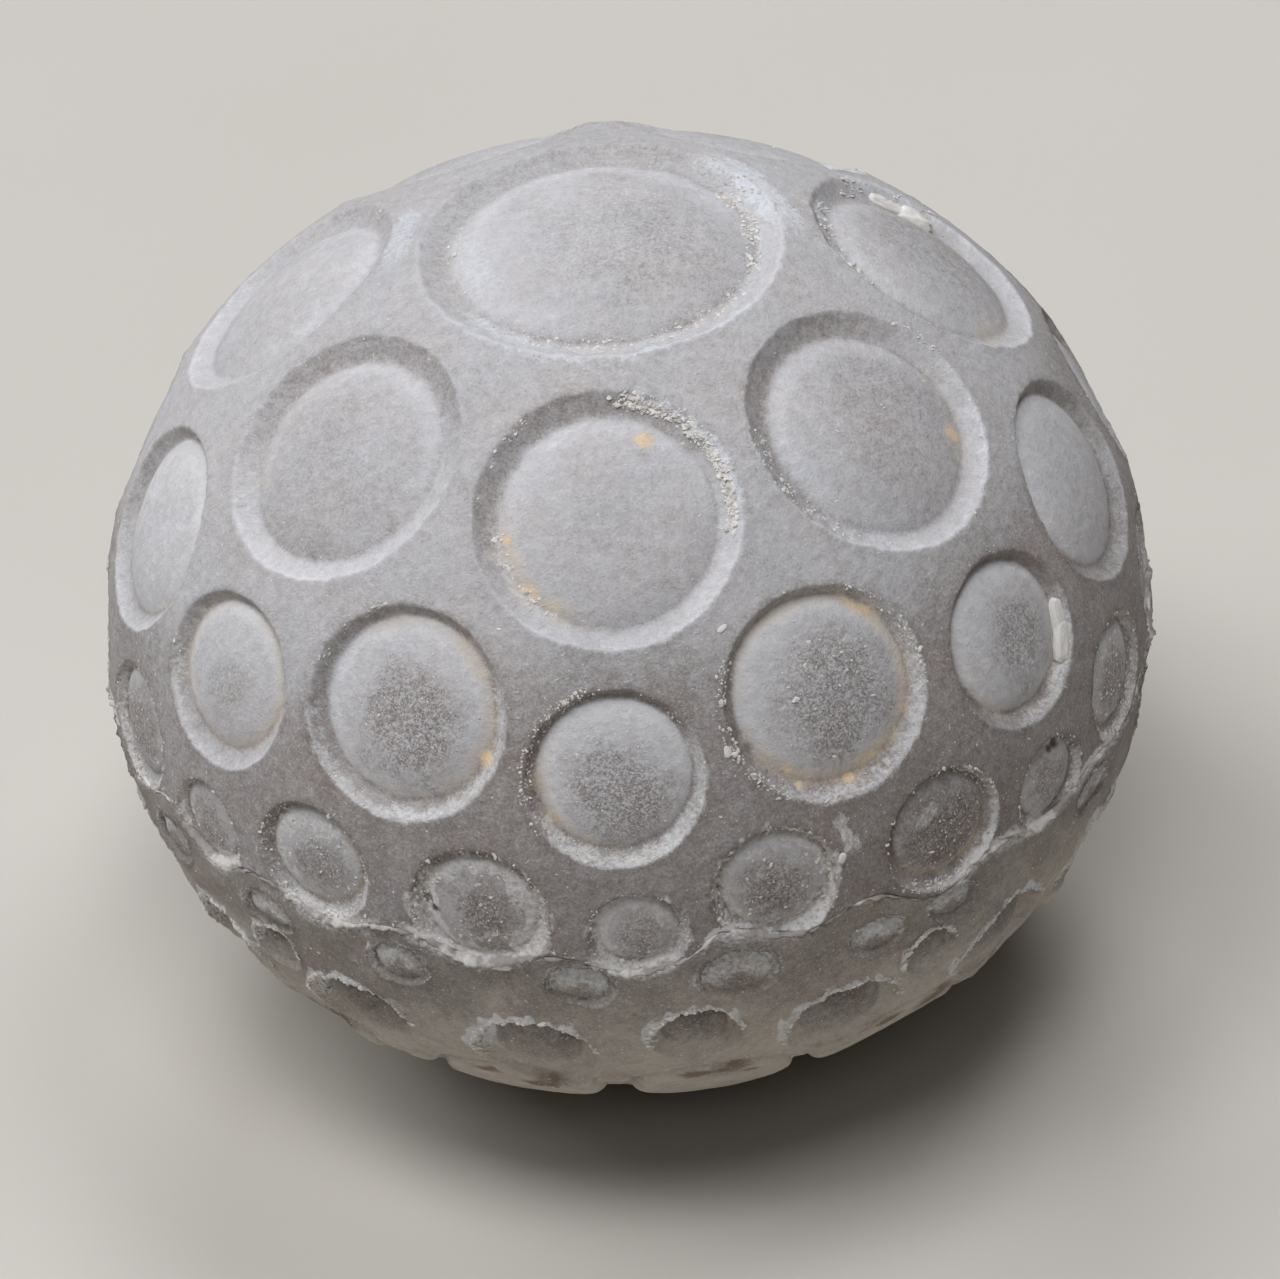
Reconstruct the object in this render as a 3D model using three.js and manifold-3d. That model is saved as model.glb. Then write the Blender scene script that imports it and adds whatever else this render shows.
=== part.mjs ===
// A weathered, cratered ball built in layers: a solid core, a mantle of two half cups, and a cover
// of two half cups that meet on a wavy parting line, bonded there by a thin ring of rubber cement.
// Millimetres, +Z up, -Y at the front. The origin is under the ball's centre, on the plane it rests on.
import * as THREE from 'three';
import { mergeVertices } from 'three/addons/utils/BufferGeometryUtils.js';
import Module from 'manifold-3d';

const wasm = await Module();
wasm.setup();

// Overall shape: a ball that has sagged into a slightly flat spheroid
const EQUATOR_RADIUS = 22.2;
const HEIGHT_RATIO = 0.89;
const POLAR_RADIUS = EQUATOR_RADIUS * HEIGHT_RATIO;

// Layers, as radii at the equator; each layer is the one outside it, scaled down
const LAYER_GAP = 0.3;
const COVER_THICKNESS = 2.1;
const MANTLE_THICKNESS = 1.9;
const COVER_INNER_RADIUS = EQUATOR_RADIUS - COVER_THICKNESS;
const MANTLE_RADIUS = COVER_INNER_RADIUS - LAYER_GAP;
const MANTLE_INNER_RADIUS = MANTLE_RADIUS - MANTLE_THICKNESS;
const CORE_RADIUS = MANTLE_INNER_RADIUS - LAYER_GAP;

// Parting line: it waves between the craters of the upper half and those of the lower half
const SEAM_WAVES = 21;
const SEAM_LEVEL = -0.8;
const SEAM_AMPLITUDE = 0.63;
const BOND_THICKNESS = 0.4;
const FLASH_HEIGHT = 0.22;
const BOND_INNER_RADIUS = COVER_INNER_RADIUS + 0.4;

// The crater pattern repeats seven times around the axis; angles are in degrees.
// polar is measured from the top pole and turn from the front, in steps of the row's spacing.
const SECTORS = 7;
const PATTERN_TURN = -2.3;
const LOWER_PATTERN_TURN = 4;
const UPPER_ROWS = [
  { count: 1, polar: 0, radius: 19.9, depth: 0.67, segments: 24 },
  { count: SECTORS, polar: 38.7, radius: 14.2, depth: 0.67, segments: 16 },
  { count: SECTORS, polar: 63.1, radius: 11.35, turn: 0.5, depth: 0.63, segments: 14 },
  { count: SECTORS, polar: 68.5, radius: 9.45, depth: 0.6, segments: 12 },
  { count: SECTORS, polar: 85.3, radius: 7.0, turn: 0.31, depth: 0.52, segments: 10 },
  { count: SECTORS, polar: 85.3, radius: 7.2, turn: -0.31, depth: 0.52, segments: 10 },
  { count: SECTORS, polar: 88.7, radius: 5.5, depth: 0.45, segments: 8 },
];
const LOWER_ROW_COUNT = 18;
const SMALL_EVERY = 4;
const LOWER_ROWS = [
  { count: SEAM_WAVES, polar: 96.7, radius: 3.5, turn: 0.5, start: PATTERN_TURN, depth: 0.3, segments: 6 },
  { count: 14, polar: 127, radius: 9.4, start: 6.7, depth: 0.67, segments: 12 },
  { count: SECTORS, polar: 148, radius: 10.9, start: 17, depth: 0.67, segments: 14 },
];
const LOWER_ROW_LARGE = { polar: 111.4, radius: 6.6, depth: 0.6, segments: 10 };
const LOWER_ROW_SMALL = { polar: 107.8, radius: 4.9, depth: 0.52, segments: 8 };
const LOWER_ROW_TINY = { polar: 104, radius: 3.3, depth: 0.37, segments: 6 };

// Crater section: a sloping wall down to a groove, then a domed floor
const WALL_SHARE = 0.17;
const WALL_OVERRUN = 1.25;
const FLOOR_CENTRE_SHARE = 0.5;
const FLOOR_MIDDLE_SHARE = 0.65;
const MIDDLE_RING_RADIUS_LIMIT = 4;
const CUTTER_HEADROOM = 0.9;

// The bottom crater is hollower, and its rim is worn to a flat ring that the ball stands on
const BOTTOM_CRATER = { polar: 180, radius: 18, depth: 1.1, centreDepth: 1.4, segments: 24 };
const LAND_WEAR = 0.18;
const BOTTOM_RIM_LEVEL = -POLAR_RADIUS * Math.cos(THREE.MathUtils.degToRad(BOTTOM_CRATER.radius));
const LAND_LEVEL = BOTTOM_RIM_LEVEL + LAND_WEAR;

// Facets
const SHELL_FACETS = 44;
const INNER_FACETS = 24;
const FACETS_PER_WAVE = 4;

const FAR = 60;

function solidFromGeometry(geometry) {
  geometry.deleteAttribute('normal');
  geometry.deleteAttribute('uv');
  const merged = mergeVertices(geometry, 1e-5);
  return new wasm.Manifold(
    new wasm.Mesh({
      numProp: 3,
      vertProperties: new Float32Array(merged.attributes.position.array),
      triVerts: new Uint32Array(merged.index.array),
    }),
  );
}

function geometryFromSolid(solid) {
  const mesh = solid.getMesh();
  const geometry = new THREE.BufferGeometry();
  geometry.setAttribute('position', new THREE.BufferAttribute(mesh.vertProperties, 3));
  geometry.setIndex(new THREE.BufferAttribute(mesh.triVerts, 1));
  geometry.computeVertexNormals();
  return geometry;
}

function spheroid(equatorRadius, facets) {
  const geometry = new THREE.SphereGeometry(equatorRadius, facets, facets / 2);
  geometry.rotateX(Math.PI / 2);
  geometry.scale(1, 1, HEIGHT_RATIO);
  return solidFromGeometry(geometry);
}

function box(width, depth, height, centreZ) {
  const geometry = new THREE.BoxGeometry(width, depth, height);
  geometry.translate(0, 0, centreZ);
  return solidFromGeometry(geometry);
}

// Place on the spheroid, and the outward direction there
function surfacePoint(polar, azimuth) {
  const ring = EQUATOR_RADIUS * Math.sin(polar);
  const height = POLAR_RADIUS * Math.cos(polar);
  return new THREE.Vector3(ring * Math.sin(azimuth), -ring * Math.cos(azimuth), height);
}

function surfaceNormal(point) {
  const { x, y, z } = point;
  return new THREE.Vector3(x, y, z / HEIGHT_RATIO ** 2).normalize();
}

// Mean radius of curvature of the spheroid at a polar angle
function curvatureRadius(polar) {
  const stretch = Math.hypot(EQUATOR_RADIUS * Math.cos(polar), POLAR_RADIUS * Math.sin(polar));
  const alongMeridian = stretch ** 3 / (EQUATOR_RADIUS * POLAR_RADIUS);
  const across = (EQUATOR_RADIUS * stretch) / POLAR_RADIUS;
  return (alongMeridian + across) / 2;
}

// The tool that hollows out one crater: everything over its floor and inside its wall
function craterCutter(crater, azimuth) {
  const polar = THREE.MathUtils.degToRad(crater.polar);
  const rimRadius = EQUATOR_RADIUS * Math.sin(THREE.MathUtils.degToRad(crater.radius));
  const grooveRadius = rimRadius * (1 - WALL_SHARE);
  const curvature = curvatureRadius(polar);
  const skin = (radius) => -(radius ** 2) / (2 * curvature);
  const centreDepth = crater.centreDepth ?? crater.depth * FLOOR_CENTRE_SHARE;
  const middleDepth = crater.centreDepth ?? crater.depth * FLOOR_MIDDLE_SHARE;
  const groove = new THREE.Vector2(grooveRadius, skin(grooveRadius) - crater.depth);
  const rim = new THREE.Vector2(rimRadius, skin(rimRadius));
  const wallTop = groove.clone().lerp(rim, WALL_OVERRUN);
  const profile = [new THREE.Vector2(0, -centreDepth)];
  if (rimRadius > MIDDLE_RING_RADIUS_LIMIT) {
    const middleRadius = grooveRadius / 2;
    profile.push(new THREE.Vector2(middleRadius, skin(middleRadius) - middleDepth));
  }
  profile.push(groove, wallTop, new THREE.Vector2(wallTop.x, CUTTER_HEADROOM));
  profile.push(new THREE.Vector2(0, CUTTER_HEADROOM));
  const geometry = new THREE.LatheGeometry(profile, crater.segments);
  const point = surfacePoint(polar, azimuth);
  const upright = new THREE.Vector3(0, 1, 0);
  const turn = new THREE.Quaternion().setFromUnitVectors(upright, surfaceNormal(point));
  geometry.applyQuaternion(turn);
  geometry.translate(point.x, point.y, point.z);
  return solidFromGeometry(geometry);
}

function cutRow(solid, row) {
  const start = row.start ?? PATTERN_TURN;
  const spacing = 360 / row.count;
  let result = solid;
  for (let index = 0; index < row.count; index += 1) {
    const azimuth = start + (index + (row.turn ?? 0)) * spacing;
    result = result.subtract(craterCutter(row, THREE.MathUtils.degToRad(azimuth)));
  }
  return result;
}

// The row under the seam row: every fourth crater is small, with a tiny one between its neighbours
function cutMixedRow(solid) {
  const spacing = 360 / LOWER_ROW_COUNT;
  const half = LOWER_ROW_COUNT / 2;
  let result = solid;
  for (let step = 1 - half; step <= half; step += 1) {
    const azimuth = THREE.MathUtils.degToRad(LOWER_PATTERN_TURN + step * spacing);
    const crater = step % SMALL_EVERY === 0 ? LOWER_ROW_SMALL : LOWER_ROW_LARGE;
    result = result.subtract(craterCutter(crater, azimuth));
    if (Math.abs(step - 1) % SMALL_EVERY === 0) {
      const between = azimuth + THREE.MathUtils.degToRad(spacing / 2);
      result = result.subtract(craterCutter(LOWER_ROW_TINY, between));
    }
  }
  return result;
}

// Height of the parting line at a point, fading towards the axis
function seamWave(x, y) {
  const azimuth = Math.atan2(x, -y) - THREE.MathUtils.degToRad(PATTERN_TURN);
  const reach = Math.hypot(x, y) / EQUATOR_RADIUS;
  return -SEAM_AMPLITUDE * reach * Math.cos(SEAM_WAVES * azimuth);
}

// Turns a closed outline round the axis and waves every point of it that is above a level
function wavyTurning(outline, levelOfWave) {
  const points = outline.map(([radius, height]) => new THREE.Vector2(radius, height));
  const geometry = new THREE.LatheGeometry(points, SEAM_WAVES * FACETS_PER_WAVE);
  geometry.rotateX(Math.PI / 2);
  const position = geometry.attributes.position;
  for (let index = 0; index < position.count; index += 1) {
    const height = position.getZ(index);
    if (height > levelOfWave) {
      position.setZ(index, height + seamWave(position.getX(index), position.getY(index)));
    }
  }
  return geometry;
}

function spaceBelowSeam(offset) {
  const top = SEAM_LEVEL + offset;
  const outline = [[0, -FAR], [FAR, -FAR], [FAR, top], [0, top]];
  return solidFromGeometry(wavyTurning(outline, -FAR / 2));
}

function coverShell() {
  return spheroid(EQUATOR_RADIUS, SHELL_FACETS).subtract(spheroid(COVER_INNER_RADIUS, INNER_FACETS));
}

function coverUpperHalf() {
  const half = coverShell().subtract(spaceBelowSeam(BOND_THICKNESS / 2 + LAYER_GAP));
  return UPPER_ROWS.reduce(cutRow, half);
}

function coverLowerHalf() {
  let half = coverShell().intersect(spaceBelowSeam(-BOND_THICKNESS / 2 - LAYER_GAP));
  half = LOWER_ROWS.reduce(cutRow, half);
  half = cutMixedRow(half);
  half = half.subtract(craterCutter(BOTTOM_CRATER, 0));
  return half.subtract(box(FAR, FAR, FAR, LAND_LEVEL - FAR / 2));
}

function seamBondRing() {
  const outer = EQUATOR_RADIUS + FLASH_HEIGHT;
  const low = SEAM_LEVEL - BOND_THICKNESS / 2;
  const high = SEAM_LEVEL + BOND_THICKNESS / 2;
  const outline = [[BOND_INNER_RADIUS, low], [outer, low], [outer, high], [BOND_INNER_RADIUS, high]];
  outline.push(outline[0]);
  return solidFromGeometry(wavyTurning(outline, -FAR));
}

function mantleHalf(side) {
  const shell = spheroid(MANTLE_RADIUS, INNER_FACETS).subtract(spheroid(MANTLE_INNER_RADIUS, INNER_FACETS));
  const keep = SEAM_LEVEL + (side * (FAR + LAYER_GAP)) / 2;
  return shell.intersect(box(2 * FAR, 2 * FAR, FAR, keep));
}

const rubber = (color, roughness) => new THREE.MeshStandardMaterial({ color, roughness, metalness: 0 });

const PIECES = [
  ['core', spheroid(CORE_RADIUS, INNER_FACETS), rubber('#4a4d52', 0.6)],
  ['mantle_lower_half', mantleHalf(-1), rubber('#c9c3b4', 0.55)],
  ['mantle_upper_half', mantleHalf(1), rubber('#c9c3b4', 0.55)],
  ['cover_lower_half', coverLowerHalf(), rubber('#9d948a', 0.85)],
  ['seam_bond_ring', seamBondRing(), rubber('#d9d2c4', 0.7)],
  ['cover_upper_half', coverUpperHalf(), rubber('#a9a5a6', 0.9)],
];

const ball = new THREE.Group();
ball.position.z = -LAND_LEVEL;
for (const [name, solid, material] of PIECES) {
  const mesh = new THREE.Mesh(geometryFromSolid(solid), material);
  mesh.name = name;
  ball.add(mesh);
}

export default ball;
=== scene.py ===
"""Looks of the cratered ball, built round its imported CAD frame.

Both cover halves are dense displaced meshes: domed craters on a slightly flat spheroid, worn rims, grain, a
wavy parting line with its flash, dust, stains and crumbs. Lengths are in millimetres until a mesh is made, in
metres, and are measured from the ball's middle. Angles are in degrees, or in radians inside functions.
"""
import math
from types import SimpleNamespace

import bmesh
import bpy
import numpy as np
from mathutils import Matrix, Vector


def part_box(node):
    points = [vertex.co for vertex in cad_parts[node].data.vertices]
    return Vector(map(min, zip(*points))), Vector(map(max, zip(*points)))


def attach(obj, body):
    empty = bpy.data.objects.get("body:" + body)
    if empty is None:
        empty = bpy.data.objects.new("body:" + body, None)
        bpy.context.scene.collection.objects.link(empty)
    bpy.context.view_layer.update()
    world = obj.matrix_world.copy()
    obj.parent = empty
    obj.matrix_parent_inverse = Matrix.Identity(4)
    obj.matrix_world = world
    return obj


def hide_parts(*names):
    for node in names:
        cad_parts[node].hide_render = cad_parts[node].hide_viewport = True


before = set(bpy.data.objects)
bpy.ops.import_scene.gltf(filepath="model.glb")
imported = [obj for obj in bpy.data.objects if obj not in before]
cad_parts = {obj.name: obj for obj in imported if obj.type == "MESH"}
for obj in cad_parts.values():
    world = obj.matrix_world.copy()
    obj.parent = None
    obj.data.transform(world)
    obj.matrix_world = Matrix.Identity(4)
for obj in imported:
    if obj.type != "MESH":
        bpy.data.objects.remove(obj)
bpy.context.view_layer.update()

MM = 0.001

# Driving dimensions, as in the CAD model
EQUATOR_RADIUS = 22.2
HEIGHT_RATIO = 0.89
POLAR_RADIUS = EQUATOR_RADIUS * HEIGHT_RATIO
COVER_THICKNESS = 2.1
SEAM_WAVES = 21
SEAM_LEVEL = -0.8
SEAM_AMPLITUDE = 0.63
SECTORS = 7
PATTERN_TURN = -2.3
LOWER_PATTERN_TURN = 4.0
LOWER_ROW_COUNT = 18
SMALL_EVERY = 4
LOWER_DOMES = 14
LOWER_DOME_TURN = 6.7
LOWER_CAP_TURN = 17.0
LOWER_DROP = 0.6
BOTTOM_CRATER_ANGLE = 18.0
WALL_CURVE = 1.3
FLOOR_EDGE = 0.88
# How softly walls meet the ridges and the floors
WALL_BLEND = 0.045
FLOOR_BLEND = 0.055

# The middle of the ball, in metres, and the height of the surface that it stands on
core_low, core_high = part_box("core")
CENTRE = Vector((0, 0, (core_low.z + core_high.z) / 2))
LAND_LEVEL = -CENTRE.z / MM

UPPER_SEED = 11
LOWER_SEED = 47
# How far single craters of the large lower row are off their even places, by step from the front, in degrees
LOWER_SHIFTS = {-1: 1.7, 1: -2.4}
# The parting line in front: the step up where it is torn, and how far it sags on the left
TORN_STEP = 0.4
SAG = 0.5
# Where it is caked with dried cement in front: azimuth and spread
SEAM_CAKES = ((-52, 3), (-34, 4), (-17, 4), (-2, 5), (7.5, 2.5), (41, 8))
# Crumbs: how many lie loose and between which polar angles, how many lie along the seam, their sizes in mm,
# how many make a clump, and how far a clump spreads as a share of its stretch
LOOSE_CRUMBS = 600
LOOSE_BANDS = {1: (24, 88), -1: (98, 118)}
SEAM_CRUMBS = 900
CRUMB_SIZE = 0.034
SEAM_CRUMB_SIZE = 0.055
SMALLEST_CRUMB = 0.02
LARGEST_CRUMB = 0.17
CLUMP = 5
CLUMP_SPREAD = 0.045
# Flakes: how far each is from a ball towards a block, and how light it is from 0 to 1
BLOCK_SHARE = 0.45
FLAKE_TINT = 0.75

# Mesh fineness: rings from pole to seam, close rings at the seam, how much coarser the inside is, and how
# strongly and how far points gather at the rims
RINGS = 300
EDGE_RINGS = 12
EDGE_STEP = 0.05
COARSE = 8
GATHER = 0.45
GATHER_INSIDE = 0.3
GATHER_OUTSIDE = 0.14


def add_object(name, data):
    made = bpy.data.objects.new(name, data)
    bpy.context.scene.collection.objects.link(made)
    return made


# ---- camera

VIEW_DISTANCE = 13.83 * EQUATOR_RADIUS
VIEW_ELEVATION = 37.77
VIEW_PAN = -0.08
VIEW_TILT = -0.27
VIEW_ROLL = 4.36
LENS = 203.0


def direction(azimuth, elevation):
    """The way from the ball to something; azimuth 0 is in front of the ball, and 90 to its right."""
    azimuth, elevation = math.radians(azimuth), math.radians(elevation)
    level = math.cos(elevation)
    return Vector((level * math.sin(azimuth), -level * math.cos(azimuth), math.sin(elevation)))


def make_camera():
    away = direction(0, VIEW_ELEVATION)
    forward = -away
    right = Vector((1, 0, 0))
    up = right.cross(forward)
    aim = Matrix.Rotation(math.radians(VIEW_PAN), 3, up) @ Matrix.Rotation(math.radians(VIEW_TILT), 3, right)
    forward, right, up = aim @ forward, aim @ right, aim @ up
    roll = Matrix.Rotation(math.radians(VIEW_ROLL), 3, forward)
    right, up = roll @ right, roll @ up
    camera_data = bpy.data.cameras.new("camera")
    camera_data.sensor_width = 36
    camera_data.lens = LENS
    camera_data.clip_start = 0.01
    camera_data.clip_end = 20
    camera = add_object("camera", camera_data)
    place = CENTRE + away * VIEW_DISTANCE * MM
    turn = Matrix((right, up, -forward)).transposed().to_4x4()
    camera.matrix_world = Matrix.Translation(place) @ turn
    bpy.context.scene.camera = camera


# ---- noise

def hashed(ix, iy, iz, seed):
    """A repeatable value from -1 to 1 for each lattice point."""
    h = (ix * 374761393 + iy * 668265263 + iz * 2147483647 + seed * 1274126177) & 0xFFFFFFFF
    h = ((h ^ (h >> 13)) * 1103515245) & 0xFFFFFFFF
    h = ((h ^ (h >> 16)) * 2654435761) & 0xFFFFFFFF
    h = h ^ (h >> 15)
    return (h & 0xFFFFFF) / float(0x7FFFFF) - 1.0


def noise(points, size, seed):
    """Smooth value noise from -1 to 1 with features about size across."""
    q = points / size
    base = np.floor(q).astype(np.int64)
    f = q - base
    w = f * f * f * (f * (f * 6 - 15) + 10)
    total = np.zeros(len(points))
    for corner in np.ndindex(2, 2, 2):
        x, y, z = (base + corner).T
        wx, wy, wz = np.where(corner, w, 1 - w).T
        total += hashed(x, y, z, seed) * wx * wy * wz
    return total


def fractal(points, size, seed):
    """Three layers of noise, each half as large and half as strong as the one before."""
    total = np.zeros(len(points))
    for octave in range(3):
        total += 0.5**octave * noise(points, size / 2**octave, seed + octave)
    return total / (1 + 0.5 + 0.25)


def smooth(low, high, value):
    t = np.clip((value - low) / (high - low), 0, 1)
    return t * t * (3 - 2 * t)


def bell(away, width):
    """1 where away is 0, fading to nothing over about twice the width."""
    return np.exp(-((away / width) ** 2))


def soft_min(a, b, k):
    h = np.clip(0.5 + 0.5 * (b - a) / k, 0, 1)
    return b * (1 - h) + a * h - k * h * (1 - h)


def soft_max(a, b, k):
    return -soft_min(-a, -b, k)


# ---- crater pattern

def on_spheroid(polar, azimuth):
    """Points at these angles, in radians; azimuth 0 is the front, -Y, and turns towards +X."""
    ring = EQUATOR_RADIUS * np.sin(polar)
    return np.stack([ring * np.sin(azimuth), -ring * np.cos(azimuth), POLAR_RADIUS * np.cos(polar)], -1)


def onto_spheroid(points):
    """The same points, moved towards or away from the centre until they lie on the spheroid."""
    shape = np.array([EQUATOR_RADIUS, EQUATOR_RADIUS, POLAR_RADIUS])
    return points / np.linalg.norm(points / shape, axis=1, keepdims=True)


def polar_degrees(points):
    return np.degrees(np.arccos(np.clip(points[:, 2] / POLAR_RADIUS, -1, 1)))


def round_equator(azimuth):
    """Points for noise that depends on the azimuth alone."""
    return np.stack([np.sin(azimuth), np.cos(azimuth), np.zeros_like(azimuth)], -1) * EQUATOR_RADIUS


def outward(points):
    n = points / np.array([1, 1, HEIGHT_RATIO**2])
    return n / np.linalg.norm(n, axis=-1, keepdims=True)


DEFAULT_LOOKS = dict(
    centre=0.42, edge=4.3, wall=0.18, lean=0.0, flat=0.0, slip=0.0, oval=1.0, lip=0.02, tone=0.62, shade=1.0,
    dim_at=-35, open=0.0, glow=0.25, lit=0.15, halo=0.0, ring=0.0, rim_light=0.1, streaks=0.2,
    soil=(0, 0.4, 0, 0), frost=(0, 180, 60, 0.8, 1.0), dust=(), stain=(0.15, 150, 90), spots=(), pits=(),
    grit=(0.1, 290, 60), crumbs=((220, 340, 0.93, 1.06, 10, 0.05),), flakes=(),
)


def crater(polar, azimuth, radius, depth, **looks):
    """A crater and its looks. The radius is an angle at the ball's centre, in degrees, and the depth is in
    mm. Clocks and spreads are in degrees, with clock 0 towards the top pole and 90 to the right. Distances,
    sizes and edges are shares of the radius, unless in mm.

    centre: the floor's depth at its middle, as a share of depth; edge: how late the domed floor drops
    wall: the wall's share of the radius; slip: how much wider it is at the bottom than at the top
    lean: how much deeper the crater is on its upper side; flat: extra depth of the floor's middle, in mm
    oval: how much flatter than round; lip: how far the rim stands up, in mm
    tone: how light the floor is, from 0 to 1
    glow: how strong the painted highlight on the floor's upper shoulder and the painted shade line in its
    groove are
    shade, dim_at: how dark the painted shade on the upper wall is, and its darkest clock
    lit: how strong the painted light on the lower wall is
    open: how much the lower side fades into its surroundings
    rim_light: how strong the painted highlight on the lower rim's edge is
    halo: how dark the painted shadow on the ridge above the rim is; ring: how dark the groove round the floor
    is
    streaks: how much the frost runs down in streaks
    soil: (amount, size, clock, offset) of the dark patch on the floor: worn grime, and painted shadow high in
    the lower craters
    frost: (amount, clock, spread, inner edge, outer edge if not 1) of white powder; dust: more of the same
    stain: (amount, clock, spread) of the tan ring; spots: (clock, distance, size) of orange spots
    pits: (clock, distance, size) of dark torn holes; grit: (amount, clock, spread) of grains at the rim
    crumbs: (first clock, last clock, nearest, farthest, how many, size in mm) of loose crumbs
    flakes: (clock, distance, length, width, thickness, turn) of chips, with their sizes in mm
    """
    place = on_spheroid(math.radians(polar), math.radians(azimuth))
    axis = outward(place)
    east = np.array([math.cos(math.radians(azimuth)), math.sin(math.radians(azimuth)), 0.0])
    axes = dict(axis=axis, east=east, north=np.cross(axis, east))
    reach = EQUATOR_RADIUS * math.sin(math.radians(radius))
    return SimpleNamespace(place=place, **axes, radius=reach, depth=depth, **(DEFAULT_LOOKS | looks))


def row(count, polar, radius, depth, turn=0.0, special=None, **looks):
    """Craters evenly round the ball. special holds the looks of single ones by step from the front,
    with shift for a turn off the even spacing, drop for a lower place and size for another radius.
    """
    craters = []
    for index in range(count):
        step = index if index <= count // 2 else index - count
        azimuth = PATTERN_TURN + (step + turn) * 360 / count
        own = looks | (special or {}).get(step, {})
        azimuth += own.pop("shift", 0)
        place = polar + own.pop("drop", 0)
        craters.append(crater(place, azimuth, own.pop("size", radius), depth, **own))
    return craters


# The craters in front that differ from their rows, by step from the front
LARGE_ROW = {
    0: dict(
        stain=(1.0, 232, 42), spots=((26, 0.69, 0.085), (262, 0.76, 0.06), (228, 0.78, 0.045)),
        grit=(0.8, 45, 42), frost=(1.0, 50, 40, 0.92, 1.0),
        dust=((0.6, 235, 38, 0.8, 0.88), (0.5, 150, 50, 0.93, 1.0)),
        crumbs=(
            (10, 95, 0.915, 0.99, 460, 0.085), (6, 100, 0.89, 1.02, 160, 0.055),
            (205, 268, 0.8, 0.9, 46, 0.07), (275, 335, 0.97, 1.03, 40, 0.045),
        ),
        tone=0.68, shade=1.15,
    ),
    1: dict(
        stain=(0.4, 120, 50), spots=((126, 0.77, 0.11),), shade=1.1, grit=(0.4, 270, 50),
        soil=(0.3, 0.62, 100, 0.2), dust=((0.6, 130, 60, 0.94, 1.0),),
        crumbs=(
            (238, 305, 0.88, 1.02, 110, 0.055), (52, 85, 1.01, 1.09, 30, 0.06),
            (190, 235, 0.9, 1.0, 26, 0.045),
        ),
    ),
    -1: dict(stain=(0.22, 225, 60), tone=0.64, dust=((0.4, 170, 70, 0.95, 1.0),)),
    -2: dict(shade=0.15, tone=0.74, glow=0.15, lit=0.12),
    2: dict(
        stain=(0.5, 215, 40), grit=(0.4, 350, 60), tone=0.64, shade=1.0, soil=(0.4, 0.6, 110, 0.25),
        dust=((0.9, 350, 50, 0.84, 0.96), (0.8, 90, 30, 0.95, 1.12)),
        crumbs=((320, 30, 0.8, 0.96, 120, 0.065), (60, 120, 0.9, 1.05, 50, 0.08)),
        flakes=((93, 0.9, 2.3, 0.8, 0.5, 14), (106, 0.88, 1.7, 1.15, 0.8, 22), (84, 0.93, 0.9, 0.6, 0.4, 0)),
    ),
}
MIDDLE_ROW = {
    0: dict(
        shift=-0.45, stain=(1.0, 100, 165), spots=((178, 0.86, 0.08), (211, 0.88, 0.05)), grit=(0.7, 265, 60),
        soil=(1.05, 0.68, 120, 0.12), frost=(0.75, 80, 50, 0.965),
        dust=((0.7, 150, 50, 0.95, 1.02), (0.72, 140, 88, 0.9, 1.0)),
        crumbs=(
            (222, 300, 0.98, 1.09, 130, 0.065), (15, 150, 0.97, 1.03, 200, 0.045),
            (0, 360, 0.05, 0.6, 12, 0.085), (0, 360, 0.05, 0.62, 60, 0.055), (165, 225, 0.9, 1.03, 90, 0.05),
        ),
        flakes=((318, 1.19, 0.45, 0.22, 0.08, 70), (258, 1.1, 0.5, 0.25, 0.12, 10)),
    ),
    -1: dict(
        stain=(0.75, 70, 110), spots=((107, 0.87, 0.09),), soil=(1.12, 0.57, 155, 0.08), wall=0.14, slip=0.35,
        frost=(0.8, 196, 76, 0.9), grit=(0.2, 300, 60), dim_at=-25, dust=((0.68, 110, 60, 0.88, 0.99),),
        crumbs=(
            (175, 235, 0.9, 1.02, 60, 0.04), (285, 350, 0.97, 1.04, 50, 0.04), (0, 360, 0.0, 0.5, 40, 0.035),
        ),
    ),
    1: dict(soil=(0.2, 0.6, 150, 0.1), stain=(0.25, 110, 60), frost=(0.3, 150, 60, 0.86), shade=1.4),
    -2: dict(soil=(0.05, 0.4, 0, 0), tone=0.87, frost=(0.3, 190, 60, 0.9), lit=0.28, halo=0.02),
}
LOW_ROW = {
    0: dict(
        shift=-0.6, stain=(0.8, 240, 65), soil=(1.2, 0.66, 165, 0.14), frost=(0.9, 180, 66, 0.86), tone=0.8,
        grit=(0.6, 275, 75), dust=((0.65, 92, 50, 0.87, 1.0),),
        crumbs=(
            (232, 350, 0.94, 1.08, 170, 0.052), (145, 225, 0.86, 1.01, 150, 0.052),
            (0, 360, 0.05, 0.6, 60, 0.055), (20, 120, 0.95, 1.02, 80, 0.04),
        ),
    ),
    1: dict(
        soil=(1.0, 0.55, 130, 0.08), stain=(0.5, 170, 110), frost=(0.7, 145, 60, 0.88), tone=0.76,
        flakes=((105, 0.91, 1.95, 0.76, 0.55, 17), (122, 0.91, 1.8, 0.74, 0.52, 27)),
    ),
    -1: dict(
        soil=(0.6, 0.42, 160, 0.1), stain=(0.7, 170, 170), frost=(0.65, 215, 72, 0.9), lit=0.3, wall=0.16,
        dim_at=-12,
    ),
}
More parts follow.
